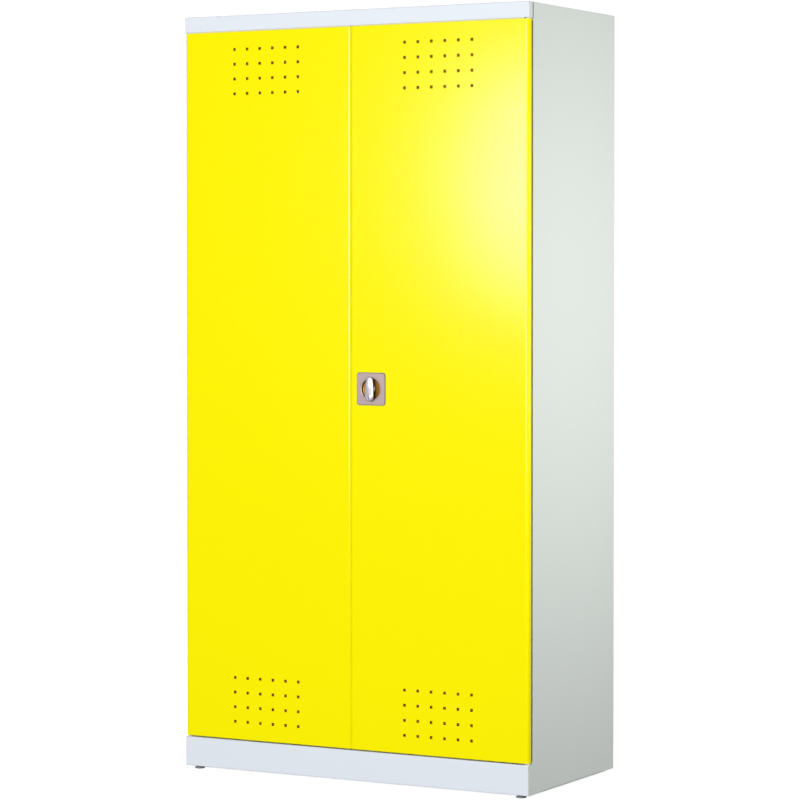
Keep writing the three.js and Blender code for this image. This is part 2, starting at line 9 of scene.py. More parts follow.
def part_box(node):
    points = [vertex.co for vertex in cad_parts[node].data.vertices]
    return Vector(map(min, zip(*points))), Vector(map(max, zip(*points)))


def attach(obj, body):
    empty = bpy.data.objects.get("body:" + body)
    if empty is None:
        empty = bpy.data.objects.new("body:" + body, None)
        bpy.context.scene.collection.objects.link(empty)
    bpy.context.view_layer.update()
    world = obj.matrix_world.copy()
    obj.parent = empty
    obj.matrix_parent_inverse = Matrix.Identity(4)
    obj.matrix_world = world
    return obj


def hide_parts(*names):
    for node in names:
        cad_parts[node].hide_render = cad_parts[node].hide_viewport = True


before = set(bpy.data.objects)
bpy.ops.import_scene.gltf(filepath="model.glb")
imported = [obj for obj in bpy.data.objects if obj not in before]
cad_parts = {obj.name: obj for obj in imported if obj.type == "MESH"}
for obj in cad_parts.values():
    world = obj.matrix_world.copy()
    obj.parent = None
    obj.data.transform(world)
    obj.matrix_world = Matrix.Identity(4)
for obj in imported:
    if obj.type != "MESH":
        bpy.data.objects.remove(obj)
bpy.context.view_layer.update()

MM = 0.001
SHEET = 1.2 * MM
TRAY_SHEET = 1.0 * MM
EDGE_RADIUS = 10 * MM  # round vertical edges of the doors
MEETING_RADIUS = 1 * MM  # free edge of the right door
DOOR_LIP = 14 * MM
FOLD_RADIUS = 2 * MM
BAR_HALF = 4.5 * MM  # half the width of the lock's rods and tongue
WAY_HALF = 5.5 * MM  # half the width of a slot that a bar or a clip goes through
SLIP = 0.6 * MM  # clearance in front of and behind a sliding bar
DISH_CUT = 28.8 * MM  # half the width of the door's cut-out for the lock dish
LIP_BEND = 1.4 * MM  # how far a slot in a door's end stays clear of the lip
GAP_STRIP_CLEARANCE = 3 * MM  # from the ends of a painted-shade strip to the ends of its door
GAP_STRIP_BREADTH = 5 * MM
GAP_STRIP_PROUD = 0.15 * MM
BAFFLE_DEPTH = (7 * MM, 8 * MM)  # front and rear of the plates behind the door's face
BAFFLE_MARGIN = 15 * MM
JAMB_SETBACK = 22 * MM
JAMB_WIDTH = 30 * MM
JAMB_LIP = 12 * MM
REAR_FLANGE = 22 * MM
FASCIA_RETURN = 20 * MM
RAIL_DEPTH = 45 * MM
FOOT_RAIL = 60 * MM
FLAT = 0.99999  # a face that looks this squarely along an axis is shaded flat
SHARP_DEGREES = 40
VENT_PITCH = 38 * MM
VENT_HOLE = 7.5 * MM
VENT_EDGE = 45.3 * MM
VENT_SHIFT = -3 * MM
VENT_COLUMNS = 6
VENT_ROWS = 4
SLOT_PITCH = 75 * MM
FIRST_SLOT = 146 * MM
SLOT_COUNT = 23
SIDES = {"left": -1, "right": 1}

ROOF_LO, ROOF_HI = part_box("roof_panel")
PLINTH_LO, PLINTH_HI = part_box("plinth")
FRONT = ROOF_LO.y
BACK = ROOF_HI.y
HALF = ROOF_HI.x
INNER = PLINTH_HI.x
FASCIA_Z = ROOF_LO.z
TOP_Z = ROOF_HI.z
BASE_Z = PLINTH_LO.z
RAIL_Z = PLINTH_HI.z


# ---------------------------------------------------------------- mesh helpers
SECTION_ORDERS = {"up": (0, 1, 2), "across": (2, 0, 1), "inwards": (0, 2, 1)}


def place_all(run):
    """A function from (u, v, s) to a point, for a section in u and v carried along s."""
    picks = SECTION_ORDERS[run]

    def place(u, v, s):
        values = (u, v, s)
        return Vector([values[i] for i in picks])

    return place


UP = place_all("up")
ACROSS = place_all("across")
INWARDS = place_all("inwards")


def arc(centre, radius, start, stop, steps=8):
    """Points of a circular arc, angles in degrees."""
    points = []
    for i in range(steps + 1):
        angle = math.radians(start + (stop - start) * i / steps)
        points.append((centre[0] + radius * math.cos(angle), centre[1] + radius * math.sin(angle)))
    return points


def bent(corners, radius=FOLD_RADIUS, steps=5):
    """A polyline with each inner corner replaced by a round bend."""
    points = [corners[0]]
    for before, corner, after in zip(corners, corners[1:], corners[2:]):
        c = Vector(corner)
        a = (Vector(before) - c).normalized()
        b = (Vector(after) - c).normalized()
        if a.angle(b) > math.radians(179):
            points.append(corner)
            continue
        reach = radius / math.tan(a.angle(b) / 2)
        start, stop = c + a * reach, c + b * reach
        centre = c + (a + b).normalized() * (radius / math.sin(a.angle(b) / 2))
        first = math.atan2(start.y - centre.y, start.x - centre.x)
        turn = math.remainder(math.atan2(stop.y - centre.y, stop.x - centre.x) - first, math.tau)
        for i in range(steps + 1):
            angle = first + turn * i / steps
            points.append((centre.x + radius * math.cos(angle), centre.y + radius * math.sin(angle)))
    points.append(corners[-1])
    return points


def inside_any(point, boxes):
    """True if the point lies in one of the (low, high) boxes."""
    return any(
        all(least <= value <= most for value, least, most in zip(point, low, high))
        for low, high in boxes
    )


def add_grid(bm, section, stations, place, holes=()):
    """A skin of quads along a section and a list of stations, without the cells in holes."""
    rows = [[bm.verts.new(place(u, v, s)) for u, v in section] for s in stations]
    for row, following in zip(rows, rows[1:]):
        for i in range(len(section) - 1):
            corners = [row[i], row[i + 1], following[i + 1], following[i]]
            middle = sum((c.co for c in corners), Vector()) / 4
            if not inside_any(middle, holes):
                bm.faces.new(corners)


def add_outline(bm, points):
    bm.faces.new([bm.verts.new(Vector(p)) for p in points])


def add_loft(bm, rings, cap_first=True, cap_last=True):
    """Quads between closed rings of equal length, with the end rings filled if asked."""
    made = [[bm.verts.new(Vector(p)) for p in ring] for ring in rings]
    count = len(made[0])
    for ring, following in zip(made, made[1:]):
        for i in range(count):
            j = (i + 1) % count
            bm.faces.new([ring[i], ring[j], following[j], following[i]])
    if cap_first:
        bm.faces.new(made[0][::-1])
    if cap_last:
        bm.faces.new(made[-1])


def lathe_rings(profile, centre, axis, segments=64):
    """Circles for add_loft from (radius, height) points about an axis through centre."""
    rings = []
    for radius, height in profile:
        ring = []
        for i in range(segments):
            angle = 2 * math.pi * i / segments
            u, v = radius * math.cos(angle), radius * math.sin(angle)
            if axis == "z":
                ring.append((centre[0] + u, centre[1] + v, height))
            else:
                ring.append((centre[0] + u, height, centre[1] + v))
        rings.append(ring)
    return rings


def rounded_ring(wide, high, radius, place, steps=8):
    """A rectangle with round corners as one closed ring."""
    w, h = wide / 2 - radius, high / 2 - radius
    points = []
    for cx, cy, start in ((w, h, 0), (-w, h, 90), (-w, -h, 180), (w, -h, 270)):
        points += arc((cx, cy), radius, start, start + 90, steps)
    return [place(u, v) for u, v in points]


def to_object(bm, name):
    """The bmesh as a new smooth-shaded object, with shared points merged and faces out."""
    bmesh.ops.remove_doubles(bm, verts=bm.verts, dist=0.02 * MM)
    loose = [v for v in bm.verts if not v.link_faces]
    bmesh.ops.delete(bm, geom=loose, context="VERTS")
    bmesh.ops.recalc_face_normals(bm, faces=bm.faces)
    for face in bm.faces:
        face.smooth = max(abs(part) for part in face.normal) < FLAT
    for edge in bm.edges:
        edge.smooth = edge.calc_face_angle(0) < math.radians(SHARP_DEGREES)
    mesh = bpy.data.meshes.new(name)
    bm.to_mesh(mesh)
    bm.free()
    piece = bpy.data.objects.new(name, mesh)
    bpy.context.scene.collection.objects.link(piece)
    return piece


def face_out(piece, point, direction):
    """Flips the mesh if its face nearest to point doesn't look along direction."""
    nearest = min(piece.data.polygons, key=lambda p: (p.center - Vector(point)).length)
    if nearest.normal.dot(Vector(direction)) < 0:
        piece.data.flip_normals()


def thicken(piece, thickness=SHEET, width=0.4 * MM):
    """Sheet thickness inwards from the outer skin, and softened edges."""
    solid = piece.modifiers.new("sheet", "SOLIDIFY")
    solid.thickness = thickness
    solid.offset = -1
    solid.use_even_offset = True
    bevel = piece.modifiers.new("edges", "BEVEL")
    bevel.width = width
    bevel.segments = 2
    bevel.limit_method = "ANGLE"
    bevel.angle_limit = math.radians(SHARP_DEGREES)


def dress(piece, material, body, slot, *nodes):
    """Gives a new piece its material and CAD body, and hides the nodes it stands for; the slot argument
    is not used.
    """
    piece.data.materials.append(material)
    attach(piece, body)
    if nodes:
        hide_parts(*nodes)
    return piece


# ---------------------------------------------------------------- materials
class Recipe:
    """A node material under construction: short calls for the nodes used here."""

    def __init__(self, name):
        self.material = bpy.data.materials.new(name)
        self.material.use_nodes = True
        self.tree = self.material.node_tree
        self.shader = self.tree.nodes["Principled BSDF"]
        self.place = self.tree.nodes.new("ShaderNodeTexCoord").outputs["Object"]

    def link(self, source, target):
        self.tree.links.new(source, target)

    def stretched(self, scale):
        mapping = self.tree.nodes.new("ShaderNodeMapping")
        mapping.inputs["Scale"].default_value = scale
        self.link(self.place, mapping.inputs["Vector"])
        return mapping.outputs["Vector"]

    def noise(self, scale, detail=2.0, vector=None):
        node = self.tree.nodes.new("ShaderNodeTexNoise")
        node.inputs["Scale"].default_value = scale
        node.inputs["Detail"].default_value = detail
        self.link(vector or self.place, node.inputs["Vector"])
        return node.outputs["Fac"]

    def cells(self, scale, output="Color"):
        node = self.tree.nodes.new("ShaderNodeTexVoronoi")
        node.inputs["Scale"].default_value = scale
        self.link(self.place, node.inputs["Vector"])
        return node.outputs[output]

    def ramp(self, fac, stops):
        node = self.tree.nodes.new("ShaderNodeValToRGB")
        ramp = node.color_ramp
        while len(ramp.elements) < len(stops):
            ramp.elements.new(0.5)
        for element, (position, color) in zip(ramp.elements, stops):
            element.position = position
            element.color = (*color, 1)
        self.link(fac, node.inputs["Fac"])
        return node.outputs["Color"]

    def spread(self, fac, low, high):
        node = self.tree.nodes.new("ShaderNodeMapRange")
        node.inputs["To Min"].default_value = low
        node.inputs["To Max"].default_value = high
        self.link(fac, node.inputs["Value"])
        return node.outputs["Result"]

    def mix(self, fac, first, second):
        node = self.tree.nodes.new("ShaderNodeMix")
        node.data_type = "RGBA"
        sockets = {"Factor": fac, "A": first, "B": second}
        for socket in node.inputs:
            if socket.name not in sockets or not socket.enabled:
                continue
            value = sockets.pop(socket.name)
            if isinstance(value, bpy.types.NodeSocket):
                self.link(value, socket)
            elif isinstance(value, tuple):
                socket.default_value = (*value, 1)
            else:
                socket.default_value = value
        return next(s for s in node.outputs if s.enabled)

    def edges(self, radius):
        """A mask of edges: where the normal turns within a radius."""
        rounded = self.tree.nodes.new("ShaderNodeBevel")
        rounded.samples = 4
        rounded.inputs["Radius"].default_value = radius
        plain = self.tree.nodes.new("ShaderNodeNewGeometry")
        product = self.tree.nodes.new("ShaderNodeVectorMath")
        product.operation = "DOT_PRODUCT"
        self.link(rounded.outputs["Normal"], product.inputs[0])
        self.link(plain.outputs["Normal"], product.inputs[1])
        worn = self.tree.nodes.new("ShaderNodeMapRange")
        worn.inputs["From Min"].default_value = 1.0
        worn.inputs["From Max"].default_value = 0.75
        self.link(product.outputs["Value"], worn.inputs["Value"])
        return worn.outputs["Result"]

    def bump(self, height, strength, distance):
        node = self.tree.nodes.new("ShaderNodeBump")
        node.inputs["Strength"].default_value = strength
        node.inputs["Distance"].default_value = distance
        self.link(height, node.inputs["Height"])
        self.link(node.outputs["Normal"], self.shader.inputs["Normal"])

    def set(self, **values):
        for name, value in values.items():
            socket = self.shader.inputs[name.replace("_", " ")]
            if isinstance(value, bpy.types.NodeSocket):
                self.link(value, socket)
            elif isinstance(value, tuple):
                socket.default_value = (*value, 1)
            else:
                socket.default_value = value
        return self.material


def powder_coat(name, color, shade, edge_color, roughness, specular):
    """Baked powder paint: orange-peel skin, faint clouding, a lighter colour on edges where sheets fold.
    """
    recipe = Recipe(name)
    cloud = recipe.noise(3.0, 3.0)
    body = recipe.mix(recipe.spread(cloud, 0.0, 1.0), color, shade)
    # edges where the normal turns get the lighter edge colour
    edge_lightened = recipe.mix(recipe.edges(0.8 * MM), body, edge_color)
    recipe.bump(recipe.noise(650, 1.5), 0.18, 0.15 * MM)
    grain = recipe.spread(recipe.noise(40, 4.0), roughness - 0.03, roughness + 0.03)
    return recipe.set(
        Base_Color=edge_lightened,
        Roughness=grain,
        Specular_IOR_Level=specular,
    )


def galvanised(name):
    """Hot-dip zinc: irregular spangle in tone and gloss."""
    recipe = Recipe(name)
    fine = recipe.cells(95)
    tone = recipe.ramp(fine, [(0.0, (0.44, 0.46, 0.48)), (1.0, (0.66, 0.68, 0.70))])
    haze = recipe.noise(14, 4.0)
    color = recipe.mix(recipe.spread(haze, 0.0, 0.5), tone, (0.56, 0.58, 0.60))
    gloss = recipe.spread(recipe.cells(95), 0.30, 0.48)
    recipe.bump(recipe.cells(95, "Distance"), 0.06, 0.2 * MM)
    return recipe.set(Base_Color=color, Roughness=gloss, Metallic=0.9)


def satin_metal(name, color, shade, roughness, brush, metallic=1.0):
    """Plated metal with a fine brushed grain along one direction."""
    recipe = Recipe(name)
    grain = recipe.noise(1.0, 3.0, recipe.stretched(brush))
    body = recipe.mix(recipe.spread(grain, 0.0, 1.0), color, shade)
    gloss = recipe.spread(grain, roughness - 0.06, roughness + 0.08)
    recipe.bump(grain, 0.05, 0.05 * MM)
    return recipe.set(Base_Color=body, Roughness=gloss, Metallic=metallic)


def moulded(name, color, shade, roughness):
    """Moulded plastic with a fine spark-eroded grain and slight scuffing."""
    recipe = Recipe(name)
    scuff = recipe.ramp(recipe.noise(60, 6.0), [(0.45, (0, 0, 0)), (0.7, (1, 1, 1))])
    body = recipe.mix(scuff, color, shade)
    recipe.bump(recipe.noise(2500, 2.0), 0.25, 0.05 * MM)
    gloss = recipe.spread(recipe.noise(90, 3.0), roughness - 0.08, roughness + 0.08)
    return recipe.set(Base_Color=body, Roughness=gloss)


GREY = powder_coat(
    "grey_powder",
    (0.75, 0.765, 0.79), (0.735, 0.75, 0.775), (0.80, 0.82, 0.84),
    roughness=0.36, specular=0.35,
)
YELLOW = powder_coat(
    "yellow_powder",
    (0.95, 0.83, 0.0), (0.945, 0.82, 0.0), (0.97, 0.87, 0.02),
    roughness=0.15, specular=0.22,
)
ZINC = galvanised("zinc_spangle")
PLATE_METAL = satin_metal(
    "plate_nickel", (0.48, 0.355, 0.34), (0.43, 0.32, 0.305),
    roughness=0.30, brush=(60, 60, 1400), metallic=0.35,
)
# nickel dish coloured brown-orange: painted reflection of the yellow door and painted shade in the
# recess
DISH_PAINTED_REFLECTION = satin_metal(
    "dish_painted_reflection", (0.34, 0.15, 0.018), (0.27, 0.12, 0.014),
    roughness=0.35, brush=(400, 400, 400), metallic=0.6,
)
GRIP_METAL = satin_metal(
    "grip_nickel", (0.66, 0.61, 0.66), (0.60, 0.55, 0.60),
    roughness=0.24, brush=(900, 900, 60), metallic=0.55,
)
BOLT_STEEL = satin_metal("zinc_bolt", (0.60, 0.62, 0.64), (0.50, 0.52, 0.54), 0.34, (1200, 80, 80))
FOOT_PLASTIC = moulded("foot_plastic", (0.20, 0.20, 0.21), (0.25, 0.25, 0.26), 0.55)
BLACK_PLASTIC = moulded("black_plastic", (0.030, 0.030, 0.032), (0.055, 0.055, 0.058), 0.5)
# olive colour for the door gap strips: painted shade and painted reflection of the yellow paint
GAP_SHADE = moulded("door_gap_shade", (0.30, 0.24, 0.012), (0.27, 0.215, 0.012), 0.7)
# pale colour for the gap under the fascia: painted light
GAP_PAINTED_LIGHT = moulded("fascia_gap_light", (0.70, 0.62, 0.32), (0.66, 0.58, 0.29), 0.7)
# brown-orange baffle colour: painted shade and painted reflection of the yellow hole walls, seen through
# the vents
BAFFLE_PAINTED_SHADE = powder_coat(
    "baffle_painted_shade",
    (0.38, 0.13, 0.002), (0.35, 0.12, 0.002), (0.40, 0.15, 0.002),
    roughness=0.5, specular=0.1,
)
# dark ring around the lock plate: painted shade of its rounded rim
RIM_SHADE = moulded("rim_shade", (0.20, 0.15, 0.17), (0.16, 0.12, 0.14), 0.6)
NYLON = moulded("nylon", (0.80, 0.78, 0.70), (0.74, 0.72, 0.64), 0.5)


# ---------------------------------------------------------------- doors
def vent_lines(low, high, first, count):
    """The edge lines of a row of holes, measured from first, between two limits."""
    reach = VENT_HOLE / 2
    lines = []
    for i in range(count):
        middle = first + i * VENT_PITCH
        lines += [middle - reach, middle + reach]
    return [line for line in lines if low < line < high]


def vent_boxes(xs, zs):
    """Boxes that take out the cells between paired hole lines."""
    pairs_x = list(zip(xs[::2], xs[1::2]))
    pairs_z = list(zip(zs[::2], zs[1::2]))
    near, far = FRONT - 1 * MM, FRONT + 1 * MM
    return [((a, near, c), (b, far, d)) for a, b in pairs_x for c, d in pairs_z]


def door(node, body, free_side, radii, rods):
    """A folded door pan with round vertical edges, lips, slots and two vent fields."""
    lo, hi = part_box(node)
    x0, x1, y0, y1, z0, z1 = lo.x, hi.x, lo.y, hi.y, lo.z, hi.z
    middle = (x0 + x1) / 2 + VENT_SHIFT
    first_x = middle - (VENT_COLUMNS - 1) / 2 * VENT_PITCH
    columns = vent_lines(x0, x1, first_x, VENT_COLUMNS)
    low_rows = vent_lines(z0, z1, z0 + VENT_EDGE, VENT_ROWS)
    top_first = z1 - VENT_EDGE - (VENT_ROWS - 1) * VENT_PITCH
    high_rows = vent_lines(z0, z1, top_first, VENT_ROWS)
    holes = vent_boxes(columns, low_rows + high_rows)

    tongue_lo, tongue_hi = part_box("latch_tongue")
    slot_y = (tongue_lo.y - SLIP, tongue_hi.y + SLIP)
    tongue_mid = tongue_hi.z - BAR_HALF
    slot_z = (tongue_mid - WAY_HALF, tongue_mid + WAY_HALF)
    free_x = x1 if free_side > 0 else x0
    holes.append(((free_x - MM, slot_y[0], slot_z[0]), (free_x + MM, slot_y[1], slot_z[1])))

    rod_lines = []
    lip_y = y1 - LIP_BEND
    for rod in rods:
        rod_lo, rod_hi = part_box(rod)
        end_z = z1 if rod.endswith("upper") else z0
        bar = (rod_lo.x + rod_hi.x) / 2
        way = (bar - WAY_HALF, bar + WAY_HALF)
        rod_lines += way
        holes.append(((way[0], slot_y[1], end_z - MM), (way[1], lip_y, end_z + MM)))

    lock_lines = []
    if rods:
        plate_lo, plate_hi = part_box("lock_plate")
        cx, cz = (plate_lo.x + plate_hi.x) / 2, (plate_lo.z + plate_hi.z) / 2
        lock_lines = [cz - DISH_CUT, cz + DISH_CUT]
        low = (cx - DISH_CUT, y0 - MM, cz - DISH_CUT)
        holes.append((low, (cx + DISH_CUT, y0 + MM, cz + DISH_CUT)))
        rod_lines += [cx - DISH_CUT, cx + DISH_CUT]

    inner_xs = sorted(columns + rod_lines + [x0 + DOOR_LIP, x1 - DOOR_LIP])
    side_ys = [*slot_y, lip_y, y1]
    ends = [z0, z0 + DOOR_LIP, z1 - DOOR_LIP, z1]
    zs = sorted([*ends, *slot_z, *low_rows, *high_rows, *lock_lines])
    left, right = radii
    left_arc = arc((x0 + left, y0 + left), left, 180, 270, 10)
    right_arc = arc((x1 - right, y0 + right), right, 270, 360, 10)
    front = [(x, y0) for x in inner_xs]
    left_ys, right_ys = ([y for y in side_ys if y > y0 + radius] for radius in radii)
    section = [(x0, y) for y in reversed(left_ys)] + left_arc + front + right_arc
    section += [(x1, y) for y in right_ys]

    bm = bmesh.new()
    add_grid(bm, section, zs, UP, holes)
    lip_xs = [x0, x0 + left, *inner_xs, x1 - right, x1]
    low = (x0 + DOOR_LIP, y1 - MM, z0 + DOOR_LIP)
    high = (x1 - DOOR_LIP, y1 + MM, z1 - DOOR_LIP)
    add_grid(bm, [(x, y1) for x in lip_xs], zs, UP, [(low, high)])
    mid_xs = lip_xs[1:-1]
    for z in (z0, z1):
        cap_section = [(y, z) for y in (y0, *side_ys)]
        add_grid(bm, cap_section, mid_xs, ACROSS, holes)
        left_end = (left_arc[::-1], mid_xs[0], x0, left_ys)
        right_end = (right_arc, mid_xs[-1], x1, right_ys)
        for bend, near, x_end, outer_ys in (left_end, right_end):
            rim = [(near, y, z) for y in reversed(side_ys)]
            rim += [(x, y, z) for x, y in bend]
            rim += [(x_end, y, z) for y in outer_ys]
            add_outline(bm, rim)
    piece = to_object(bm, "visual_" + node)
    face_out(piece, ((x0 + x1) / 2, y0, (z0 + z1) / 2), (0, -1, 0))
    thicken(piece)
    return dress(piece, YELLOW, body, "yellow_paint", node)


RODS = ("lock_rod_upper", "lock_rod_lower")
door("door_shell_left", "left_door", 1, (EDGE_RADIUS, EDGE_RADIUS), ())
door("door_shell_right", "right_door", -1, (MEETING_RADIUS, EDGE_RADIUS), RODS)


def gap_strip(name, section, z_range, body):
    """A thin olive strip of painted shade and painted yellow reflection: a closed section in x and y
    between two heights.
    """
    bm = bmesh.new()
    add_loft(bm, [[(x, y, z) for x, y in section] for z in z_range])
    dress(to_object(bm, name), GAP_SHADE, body, "black_plastic")


def door_gap_shade(hand, side):
    """Painted-shade strip around the rear corner of the door's hinge side, and the one it faces on the
    jamb: together they paint the dark gap there.
    """
    lo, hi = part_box("door_shell_" + hand)
    ends = (lo.z + GAP_STRIP_CLEARANCE, hi.z - GAP_STRIP_CLEARANCE)
    face, rim = side * HALF, side * (HALF + GAP_STRIP_PROUD)
    lip = side * (HALF - DOOR_LIP)
    near, far = hi.y - GAP_STRIP_BREADTH, hi.y + 0.1 * MM
    around = [(rim, near), (rim, far), (lip, far), (lip, hi.y), (face, hi.y), (face, near)]
    gap_strip("door_gap_shade_" + hand, around, ends, hand + "_door")
    front, rear = FRONT + JAMB_SETBACK - 0.4 * MM, FRONT + JAMB_SETBACK
    outer, inside = side * (HALF - 0.4 * MM), side * (HALF - 12 * MM)
    flat = [(outer, front), (outer, rear), (inside, rear), (inside, front)]
    gap_strip("jamb_gap_shade_" + hand, flat, ends, "carcass")


def slab(name, low, high, material, body, slot):
    """A plain rectangular piece between two corners."""
    (x0, y0, z0), (x1, y1, z1) = low, high
    section = [(x0, y0), (x1, y0), (x1, y1), (x0, y1)]
    bm = bmesh.new()
    add_loft(bm, [[(x, y, z) for x, y in section] for z in (z0, z1)])
    dress(to_object(bm, name), material, body, slot)


def vent_baffles(hand):
    """Plates a little behind both vent fields, so that nothing flies straight through; their brown
    colour is painted shade and painted reflection seen through the holes.
    """
    lo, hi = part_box("door_shell_" + hand)
    middle = (lo.x + hi.x) / 2 + VENT_SHIFT
    reach = (VENT_COLUMNS / 2) * VENT_PITCH
    tall = (VENT_ROWS - 1) * VENT_PITCH
    for where, start in (("low", lo.z + VENT_EDGE), ("high", hi.z - VENT_EDGE - tall)):
        low = (middle - reach, FRONT + BAFFLE_DEPTH[0], start - BAFFLE_MARGIN)
        high = (middle + reach, FRONT + BAFFLE_DEPTH[1], start + tall + BAFFLE_MARGIN)
        slab(f"vent_baffle_{where}_{hand}", low, high, BAFFLE_PAINTED_SHADE, hand + "_door", "yellow_paint")


def fascia_gap_light():
    """Pale strip in the gap between the doors' tops and the fascia: painted light that makes the gap
    show lighter.
    """
    door_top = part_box("door_shell_left")[1].z
    end = HALF - DOOR_LIP
    low = (-end, FRONT + 1.6 * MM, door_top + 0.3 * MM)
    high = (end, FRONT + 7 * MM, FASCIA_Z - 0.05 * MM)
    slab("fascia_gap_light", low, high, GAP_PAINTED_LIGHT, "carcass", "grey_paint")


for hand, side in SIDES.items():
    door_gap_shade(hand, side)
    vent_baffles(hand)
fascia_gap_light()


# ---------------------------------------------------------------- carcass
def side_panel(side, node):
    """Side skin with the folded jamb, the rear flange, the foot flange and the plinth part."""
    lo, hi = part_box(node)
    outer = side * HALF
    jamb_y = FRONT + JAMB_SETBACK
    jamb_x = outer - side * JAMB_WIDTH
    top = hi.z
    jamb = [
        (jamb_x, jamb_y + JAMB_LIP),
        (jamb_x, jamb_y),
        (outer, jamb_y),
        (outer, BACK),
        (outer - side * REAR_FLANGE, BACK),
    ]
    upper = bent(jamb)
    lower = [p for p in upper if p[1] >= jamb_y + FOLD_RADIUS * 0.99 and abs(p[0]) > HALF - 25 * MM]
    start = lower.index(min(lower, key=lambda p: p[1]))
    lower = [(outer, lo.y)] + lower[start:]
    bm = bmesh.new()
    skirt = [BASE_Z, RAIL_Z]
    add_grid(bm, lower, skirt, UP)
    fascia_cut = ((-HALF, FRONT, FASCIA_Z), (HALF, jamb_y + FOLD_RADIUS * 0.9, top))
    inside = HALF - 2 * MM
    lip_cut = (
        (-inside, FRONT, FASCIA_Z),
        (inside, jamb_y + 14 * MM, top),
    )
    stations = [RAIL_Z, RAIL_Z + 0.3 * MM, FASCIA_Z - 0.3 * MM, top]
    add_grid(bm, upper, stations, UP, [fascia_cut, lip_cut])
    foot_z = BASE_Z + 0.5 * MM
    foot = [(outer, BASE_Z + 3 * MM), (outer, foot_z), (outer - side * 30 * MM, foot_z)]
    bottom = [FRONT + 62 * MM, BACK - 62 * MM]
    add_grid(bm, bent(foot, 1.5 * MM), bottom, INWARDS)
    piece = to_object(bm, "visual_" + node)
    face_out(piece, (outer, 0, 1), (side, 0, 0))
    thicken(piece)
    return dress(piece, GREY, "carcass", "grey_paint", node)


def rod_way(rod, z):
    """The slot that a lock rod shoots through in a rail at one height."""
    lo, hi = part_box(rod)
    middle = (lo.x + hi.x) / 2
    low = (middle - WAY_HALF, lo.y - SLIP, z - MM)
    return low, (middle + WAY_HALF, hi.y + SLIP, z + MM)


def with_edges(section, z, way):
    """Adds the slot's two edges to the part of a section that runs back at height z."""
    near, far = way[0][1], way[1][1]
    at = next(i for i, (y, up) in enumerate(section) if abs(up - z) < 0.01 * MM and y > far)
    return section[:at] + [(near, z), (far, z)] + section[at:]


def roof():
    """Roof sheet folded down to the fascia and under to the upper door rail."""
    rail_back = FRONT + RAIL_DEPTH
    ret = FRONT + FASCIA_RETURN
    corners = [
        (BACK, TOP_Z),
        (ret, TOP_Z),
        (FRONT, TOP_Z),
        (FRONT, FASCIA_Z),
        (ret, FASCIA_Z),
        (rail_back, FASCIA_Z),
        (rail_back, FASCIA_Z + 13 * MM),
    ]
    way = rod_way("lock_rod_upper", FASCIA_Z)
    section = with_edges(bent(corners), FASCIA_Z, way)
    xs = [-HALF, -INNER, way[0][0], way[1][0], INNER, HALF]
    beyond = [
        ((low, ret, FASCIA_Z - MM), (high, rail_back + MM, FASCIA_Z + 14 * MM))
        for low, high in ((-HALF, -INNER), (INNER, HALF))
    ]
    bm = bmesh.new()
    add_grid(bm, section, xs, ACROSS, [*beyond, way])
    end = [p for p in section if p[0] <= ret + 0.01 * MM]
    for side in (-1, 1):
        add_outline(bm, [(side * HALF, y, z) for y, z in end])
    piece = to_object(bm, "visual_roof_panel")
    face_out(piece, (0, FRONT, (FASCIA_Z + TOP_Z) / 2), (0, -1, 0))
    thicken(piece)
    return dress(piece, GREY, "carcass", "grey_paint", "roof_panel")


def plinth():
    corners = [
        (FRONT + FOOT_RAIL, BASE_Z),
        (FRONT, BASE_Z),
        (FRONT, RAIL_Z),
        (FRONT + RAIL_DEPTH, RAIL_Z),
        (FRONT + RAIL_DEPTH, RAIL_Z - 14 * MM),
    ]
    way = rod_way("lock_rod_lower", RAIL_Z)
    section = with_edges(bent(corners), RAIL_Z, way)
    bm = bmesh.new()
    add_grid(bm, section, [-INNER, way[0][0], way[1][0], INNER], ACROSS, [way])
    piece = to_object(bm, "visual_plinth")
    face_out(piece, (0, FRONT, (BASE_Z + RAIL_Z) / 2), (0, -1, 0))
    thicken(piece)
    return dress(piece, GREY, "carcass", "grey_paint", "plinth")


def rear_rail():
    back = BACK - 3 * MM
    corners = [(BACK - FOOT_RAIL, BASE_Z), (back, BASE_Z), (back, BASE_Z + 52 * MM)]
    bm = bmesh.new()
    add_grid(bm, bent(corners), [-INNER, INNER], ACROSS)
    piece = to_object(bm, "visual_rear_base_rail")
    face_out(piece, (0, back, BASE_Z + 30 * MM), (0, 1, 0))
    thicken(piece)
    return dress(piece, GREY, "carcass", "grey_paint", "rear_base_rail")


def floor_sheet():
    lo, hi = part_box("floor_panel")
    corners = [(lo.y, lo.z), (lo.y, hi.z), (hi.y, hi.z), (hi.y, lo.z)]
    bm = bmesh.new()
    add_grid(bm, bent(corners), [lo.x, 0, hi.x], ACROSS)
    piece = to_object(bm, "visual_floor_panel")
    face_out(piece, (0, 0, hi.z), (0, 0, 1))
    thicken(piece)
    return dress(piece, GREY, "carcass", "grey_paint", "floor_panel")


